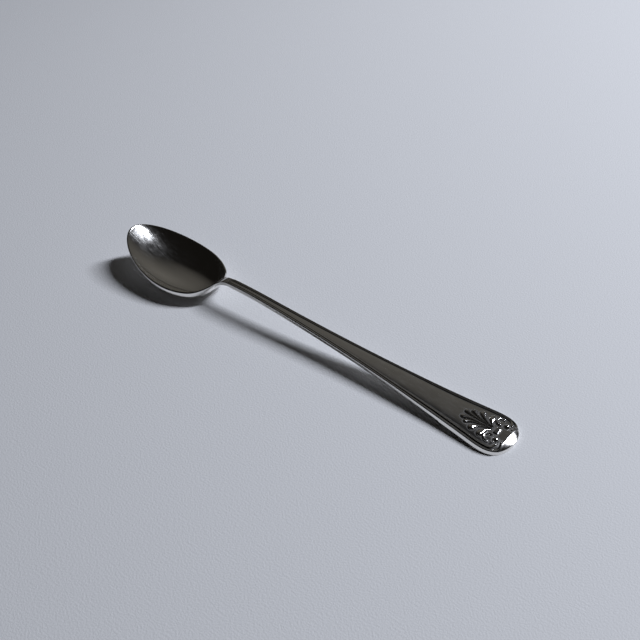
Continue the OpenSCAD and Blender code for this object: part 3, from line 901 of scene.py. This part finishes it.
def build_piece(name, node, material, skins, clean_unshaded=None):
    """Makes one smooth piece from closed skins of rings, in place of a CAD node.
    Its mask is 1 at each point of clean, unshaded silver and 0 where it is darkened, partly as tarnished
    silver and partly as painted shade."""
    points, faces = [], []
    for rings, first, last in skins:
        faces += skin_faces(rings, first, last, len(points))
        points += [tuple(p) for p in rings.reshape(-1, 3)]
        points += [tuple(p) for p in (first, last) if p is not None]
    mesh = bpy.data.meshes.new(name)
    mesh.from_pydata(points, [], faces)
    solid = bmesh.new()
    solid.from_mesh(mesh)
    bmesh.ops.recalc_face_normals(solid, faces=solid.faces)
    solid.to_mesh(mesh)
    solid.free()
    mesh.shade_smooth()
    mesh.set_sharp_from_angle(angle=CREASE)
    if clean_unshaded is None:
        clean_unshaded = np.ones(len(points))
    mesh.attributes.new("clean_unshaded", "FLOAT", "POINT").data.foreach_set("value", clean_unshaded.astype(np.float32))
    mesh.materials.append(material)
    piece = add_object(name, mesh)
    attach(piece, BODY)
    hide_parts(node)


# Materials

def linear(code):
    """An sRGB hex code as a linear colour."""
    parts = [int(code[i:i + 2], 16) / 255 for i in (1, 3, 5)]
    return tuple(c / 12.92 if c <= 0.04045 else ((c + 0.055) / 1.055) ** 2.4 for c in parts) + (1.0,)


def add_node(tree, kind, inputs=None, **settings):
    """Adds a node with its settings, and links or sets its inputs."""
    node = tree.nodes.new(kind)
    for key, value in settings.items():
        setattr(node, key, value)
    for key, value in (inputs or {}).items():
        if isinstance(value, bpy.types.NodeSocket):
            tree.links.new(value, node.inputs[key])
        else:
            node.inputs[key].default_value = value
    return node


def empty_tree(owner):
    """The node tree of a material, a lamp or the world, emptied."""
    owner.use_nodes = True
    owner.node_tree.nodes.clear()
    return owner.node_tree


SCRATCH_WIDTH = 0.2 * MM
SCRATCH_LENGTH = 5.0 * MM
SCRATCH_DEPTH = 0.002 * MM
SMEAR_SIZE = 6.0 * MM
SMEAR_ROUGHNESS = 0.015
DULL_ROUGHNESS = 0.25


def silver_plate(name, finish, roughness, scratch_angles, scratch_strength):
    """Silver plate that was polished and then used: smooth on high places, with fine
    hairlines that scatter the light a little, a soft bloom where it was wiped, and rougher, darker silver
    in the recesses at the ridges' feet, whose colour is partly tarnished silver and partly painted shade.
    A real hairline is some hundredths of a millimetre wide; here it is drawn wider, so that it shows."""
    found = bpy.data.materials.get(name)
    if found:
        return found
    material = bpy.data.materials.new(name)
    tree = empty_tree(material)
    place = add_node(tree, "ShaderNodeTexCoord").outputs["Object"]
    scratches = None
    for angle in scratch_angles:
        turned = add_node(tree, "ShaderNodeMapping", {
            "Vector": place, "Rotation": (0.0, 0.0, math.radians(angle)),
            "Scale": (1 / SCRATCH_LENGTH, 1 / SCRATCH_WIDTH, 1 / SCRATCH_LENGTH),
        })
        lines = add_node(tree, "ShaderNodeTexNoise", {
            "Vector": turned.outputs[0], "Scale": 1.0, "Detail": 1.0, "Roughness": 0.4,
        })
        sharp = add_node(tree, "ShaderNodeMapRange", {
            "Value": lines.outputs[0], "From Min": 0.6, "From Max": 0.78,
        }).outputs[0]
        if scratches is not None:
            sharp = add_node(tree, "ShaderNodeMath", {
                0: scratches, 1: sharp,
            }, operation="MAXIMUM").outputs[0]
        scratches = sharp
    smear = add_node(tree, "ShaderNodeTexNoise", {
        "Vector": place, "Scale": 1 / SMEAR_SIZE, "Detail": 4.0, "Roughness": 0.6,
    }).outputs[0]
    # The mask darkens the silver towards the ridges' feet, partly as tarnished silver and partly as painted
    # shade, and makes it rougher there.
    clean_unshaded = add_node(tree, "ShaderNodeAttribute", attribute_name="clean_unshaded").outputs["Fac"]
    dull_and_shaded = add_node(tree, "ShaderNodeMath", {0: 1.0, 1: clean_unshaded}, operation="SUBTRACT").outputs[0]
    colour = add_node(tree, "ShaderNodeMix", {
        "Factor": dull_and_shaded, "A": linear(finish.silver), "B": linear(finish.tarnish_and_shade),
    }, data_type="RGBA").outputs["Result"]
    smeared = add_node(tree, "ShaderNodeMapRange", {
        "Value": smear, "From Min": 0.3, "From Max": 0.7,
        "To Min": roughness - SMEAR_ROUGHNESS, "To Max": roughness + SMEAR_ROUGHNESS,
    }).outputs[0]
    scratched = add_node(tree, "ShaderNodeMath", {
        0: scratches, 1: scratch_strength, 2: smeared,
    }, operation="MULTIPLY_ADD").outputs[0]
    rough = add_node(tree, "ShaderNodeMath", {
        0: dull_and_shaded, 1: DULL_ROUGHNESS, 2: scratched,
    }, operation="MULTIPLY_ADD").outputs[0]
    bump = add_node(tree, "ShaderNodeBump", {
        "Height": scratches, "Strength": 0.6, "Distance": SCRATCH_DEPTH,
    }, invert=True).outputs[0]
    metal = add_node(tree, "ShaderNodeBsdfPrincipled", {
        "Base Color": colour, "Metallic": 1.0, "Roughness": rough, "Normal": bump,
    })
    add_node(tree, "ShaderNodeOutputMaterial", {"Surface": metal.outputs[0]})
    return material


def bowl_silver(finish):
    """Bowl: buffed with a soft wheel and scratched by use, in every direction."""
    return silver_plate(
        "Silver plate, buffed", finish, finish.bowl_roughness,
        scratch_angles=(8, 65, 118, 160), scratch_strength=0.08,
    )


def handle_silver(finish):
    """Handle: polished lengthwise, with hairlines along it."""
    return silver_plate(
        "Silver plate, polished", finish, finish.handle_roughness,
        scratch_angles=(3, -4), scratch_strength=0.08,
    )


def relief_silver(finish):
    """Ornament: struck and burnished, clean on its crests and darkened at its feet with tarnished silver
    and painted shade.
    """
    return silver_plate(
        "Silver plate, struck", finish, finish.relief_roughness,
        scratch_angles=(20, 110), scratch_strength=0.05,
    )


# Operators

def direction(bearing, rise):
    """The way to a bearing from +X towards +Y and a rise above the table."""
    level = math.cos(rise)
    return Vector((level * math.cos(bearing), level * math.sin(bearing), math.sin(rise)))


class SPOON_OT_stage(bpy.types.Operator):
    """Add the table, the window, the lit wall, the room and the camera"""

    bl_idname = "spoon.stage"
    bl_label = "Table, Light and Camera"

    TABLE_SIZE = 40.0
    TABLE_ROUGHNESS = 0.75
    GRAIN_SIZE = 0.8 * MM
    GRAIN_DEPTH = 0.2 * MM
    CAMERA_NEAREST = 10.0 * MM

    def execute(self, context):
        stage = context.scene.spoon.stage
        self.add_table(stage)
        window = self.add_lamp("window", stage.window, stage.window_power, stage.window_size)
        self.place_lamp(window, stage.lamp_aim, stage.window_place, stage.window_distance)
        wall = self.add_lamp("lit_wall", stage.wall, stage.wall_power, stage.wall_size)
        self.place_lamp(wall, stage.lamp_aim, stage.wall_place, stage.wall_distance, upright=True)
        self.fade(wall.data)
        self.add_room(context.scene, stage)
        self.add_camera(context.scene, stage)
        context.scene.view_settings.view_transform = "Standard"
        return {"FINISHED"}

    def add_table(self, stage):
        """A pale table of painted board, matt and faintly grained. The grain is coarser than a real one,
        so that it shows."""
        half = self.TABLE_SIZE / 2
        corners = [(-half, -half, 0), (half, -half, 0), (half, half, 0), (-half, half, 0)]
        mesh = bpy.data.meshes.new("table")
        mesh.from_pydata(corners, [], [(0, 1, 2, 3)])
        add_object("table", mesh)
        material = bpy.data.materials.new("Painted board, matt")
        tree = empty_tree(material)
        place = add_node(tree, "ShaderNodeTexCoord").outputs["Object"]
        grain = add_node(tree, "ShaderNodeTexNoise", {
            "Vector": place, "Scale": 1 / self.GRAIN_SIZE, "Detail": 3.0, "Roughness": 0.6,
        }).outputs[0]
        bump = add_node(tree, "ShaderNodeBump", {
            "Height": grain, "Strength": 0.8, "Distance": self.GRAIN_DEPTH,
        }).outputs[0]
        board = add_node(tree, "ShaderNodeBsdfPrincipled", {
            "Base Color": linear(stage.table), "Roughness": self.TABLE_ROUGHNESS, "Normal": bump,
        })
        add_node(tree, "ShaderNodeOutputMaterial", {"Surface": board.outputs[0]})
        mesh.materials.append(material)

    def add_lamp(self, name, colour, watts, size):
        """A soft rectangular lamp."""
        light = bpy.data.lights.new(name, "AREA")
        light.shape = "RECTANGLE"
        light.size, light.size_y = size
        light.energy = watts
        light.color = linear(colour)[:3]
        return add_object(name, light)

    def place_lamp(self, lamp, aim, place, distance, upright=False):
        """Puts a lamp at a bearing, a rise and a distance from the aim.
        It is turned to the aim, or stands upright like a wall."""
        towards = direction(*place)
        lamp.location = Vector(aim) + towards * distance
        lamp.rotation_mode = "QUATERNION"
        facing = Vector((towards.x, towards.y, 0.0)) if upright else towards
        lamp.rotation_quaternion = facing.to_track_quat("Z", "Y")

    def fade(self, light):
        """Lets a lamp fade from its middle to its edges, as light does on a wall."""
        tree = empty_tree(light)
        place = add_node(tree, "ShaderNodeNewGeometry").outputs["Parametric"]
        centred = add_node(tree, "ShaderNodeMapping", {
            "Vector": place, "Location": (-1.0, -1.0, 0.0), "Scale": (2.0, 2.0, 1.0),
        }).outputs[0]
        pool = add_node(tree, "ShaderNodeTexGradient", {"Vector": centred}, gradient_type="SPHERICAL")
        glow = add_node(tree, "ShaderNodeEmission", {"Strength": pool.outputs["Fac"]})
        add_node(tree, "ShaderNodeOutputLight", {"Surface": glow.outputs[0]})

    def add_room(self, scene, stage):
        """The dim room that the silver reflects."""
        world = bpy.data.worlds.new("room")
        tree = empty_tree(world)
        glow = add_node(tree, "ShaderNodeBackground", {
            "Color": linear(stage.room), "Strength": stage.room_strength,
        })
        add_node(tree, "ShaderNodeOutputWorld", {"Surface": glow.outputs[0]})
        scene.world = world

    def add_camera(self, scene, stage):
        """The camera at the photograph's angle."""
        camera = bpy.data.cameras.new("camera")
        camera.lens = stage.view_lens
        camera.clip_start = self.CAMERA_NEAREST
        eye = add_object("camera", camera)
        looking = direction(stage.view_bearing, -stage.view_fall)
        eye.location = Vector(stage.view_target) - looking * stage.view_distance
        eye.rotation_mode = "QUATERNION"
        eye.rotation_quaternion = looking.to_track_quat("-Z", "Y")
        scene.camera = eye


class SPOON_OT_bowl(bpy.types.Operator):
    """Build the raised bowl with its rounded rim"""

    bl_idname = "spoon.bowl"
    bl_label = "Bowl"

    def execute(self, context):
        spoon = context.scene.spoon
        rings, poles = BowlShape(spoon.bowl).rings()
        build_piece("spoon_bowl", "bowl", bowl_silver(spoon.finish), [(rings, *poles)])
        return {"FINISHED"}


class SPOON_OT_handle(bpy.types.Operator):
    """Build the stem, the arched neck and the crowned panel"""

    bl_idname = "spoon.handle"
    bl_label = "Handle"

    # Reach from a ridge's foot over which the handle's top is darkened with tarnished silver and painted
    # shade
    SHADE_AND_TARNISH_REACH = 0.8 * MM

    def execute(self, context):
        spoon = context.scene.spoon
        handle = HandleShape(spoon)
        rings = handle.rings()
        clean_unshaded = self.recesses(handle, rings, Relief(spoon).feet())
        silver = handle_silver(spoon.finish)
        build_piece("spoon_handle", "handle", silver, [(rings, None, None)], clean_unshaded)
        return {"FINISHED"}

    def recesses(self, handle, rings, feet):
        """1 on the open metal, and less on the top close to a ridge's foot, where it is darkened, partly as
        tarnished silver and partly as painted shade.
        """
        tree = KDTree(len(feet))
        for i, foot in enumerate(feet):
            tree.insert((*foot, 0.0), i)
        tree.balance()
        top = rings[:, handle.top_points()]
        gap = np.array([[tree.find((p[0], p[1], 0.0))[2] for p in ring] for ring in top])
        clean_unshaded = np.ones(rings.shape[:2])
        clean_unshaded[:, handle.top_points()] = clear_of_tarnish_and_shade(gap, self.SHADE_AND_TARNISH_REACH * handle.border(top[:, :, 0]))
        return clean_unshaded.ravel()


def ridge_piece(node, finish, ridges):
    """One piece made of ridges, darkened at their feet with tarnished silver and painted shade."""
    skins = [(r.rings(), None, None) for r in ridges]
    clean_unshaded = np.concatenate([r.clean_unshaded() for r in ridges])
    build_piece(f"spoon_{node}", node, relief_silver(finish), skins, clean_unshaded)


def ridge_pair(node, finish, ridge):
    """Two pieces: a ridge on the +Y side, and the same ridge on the -Y side."""
    ridge_piece(f"{node}_right", finish, [ridge])
    ridge_piece(f"{node}_left", finish, [ridge.mirrored()])


class SPOON_OT_threads(bpy.types.Operator):
    """Build the four threads along the handle's edges"""

    bl_idname = "spoon.threads"
    bl_label = "Threads"

    def execute(self, context):
        spoon = context.scene.spoon
        relief = Relief(spoon)
        ridge_pair("thread_outer", spoon.finish, relief.outer_thread())
        ridge_pair("thread_inner", spoon.finish, relief.inner_thread())
        return {"FINISHED"}


class SPOON_OT_palmette(bpy.types.Operator):
    """Build the fan of plumes"""

    bl_idname = "spoon.palmette"
    bl_label = "Palmette"

    def execute(self, context):
        spoon = context.scene.spoon
        ridge_piece("palmette", spoon.finish, Relief(spoon).plumes())
        return {"FINISHED"}


class SPOON_OT_volutes(bpy.types.Operator):
    """Build the two scrolls"""

    bl_idname = "spoon.volutes"
    bl_label = "Scrolls"

    def execute(self, context):
        spoon = context.scene.spoon
        ridge_pair("volute", spoon.finish, Relief(spoon).volute())
        return {"FINISHED"}


class SPOON_OT_beads(bpy.types.Operator):
    """Build the round eyes of the scrolls"""

    bl_idname = "spoon.beads"
    bl_label = "Beads"

    def execute(self, context):
        spoon = context.scene.spoon
        relief = Relief(spoon)
        skins = []
        for side in (1, -1):
            rings, top = relief.bead_rings(side)
            skins.append((rings, None, top))
        build_piece("spoon_beads", "volute_beads", relief_silver(spoon.finish), skins)
        return {"FINISHED"}


class SPOON_OT_clasp(bpy.types.Operator):
    """Build the band that ties the scrolls and the plumes"""

    bl_idname = "spoon.clasp"
    bl_label = "Clasp"

    def execute(self, context):
        spoon = context.scene.spoon
        ridge_piece("clasp", spoon.finish, [Relief(spoon).clasp()])
        return {"FINISHED"}


PIECES = (
    SPOON_OT_stage, SPOON_OT_bowl, SPOON_OT_handle, SPOON_OT_threads,
    SPOON_OT_palmette, SPOON_OT_volutes, SPOON_OT_beads, SPOON_OT_clasp,
)


class VIEW3D_PT_spoon(bpy.types.Panel):
    """Sizes, finish and pieces of the spoon"""

    bl_label = "Serving Spoon"
    bl_idname = "VIEW3D_PT_spoon"
    bl_space_type = "VIEW_3D"
    bl_region_type = "UI"
    bl_category = "Spoon"

    def draw(self, context):
        spoon = context.scene.spoon
        for group in (spoon.bowl, spoon.handle, spoon.threads, spoon.ornament, spoon.finish, spoon.stage):
            box = self.layout.box()
            for key in group.bl_rna.properties.keys():
                if key not in ("rna_type", "name"):
                    box.prop(group, key)
        for piece in PIECES:
            self.layout.operator(piece.bl_idname)


GROUPS = (BowlSizes, HandleSizes, ThreadSizes, OrnamentSizes, FinishSettings, StageSettings, SpoonSettings)


def register():
    """Registers the settings, the operators and the panel."""
    for item in GROUPS + PIECES + (VIEW3D_PT_spoon,):
        bpy.utils.register_class(item)
    bpy.types.Scene.spoon = PointerProperty(type=SpoonSettings)


def unregister():
    """Takes them out again."""
    del bpy.types.Scene.spoon
    for item in reversed(GROUPS + PIECES + (VIEW3D_PT_spoon,)):
        bpy.utils.unregister_class(item)


def main():
    """Builds the stage and every piece."""
    register()
    bpy.ops.spoon.stage()
    bpy.ops.spoon.bowl()
    bpy.ops.spoon.handle()
    bpy.ops.spoon.threads()
    bpy.ops.spoon.palmette()
    bpy.ops.spoon.volutes()
    bpy.ops.spoon.beads()
    bpy.ops.spoon.clasp()


if __name__ == "__main__":
    main()
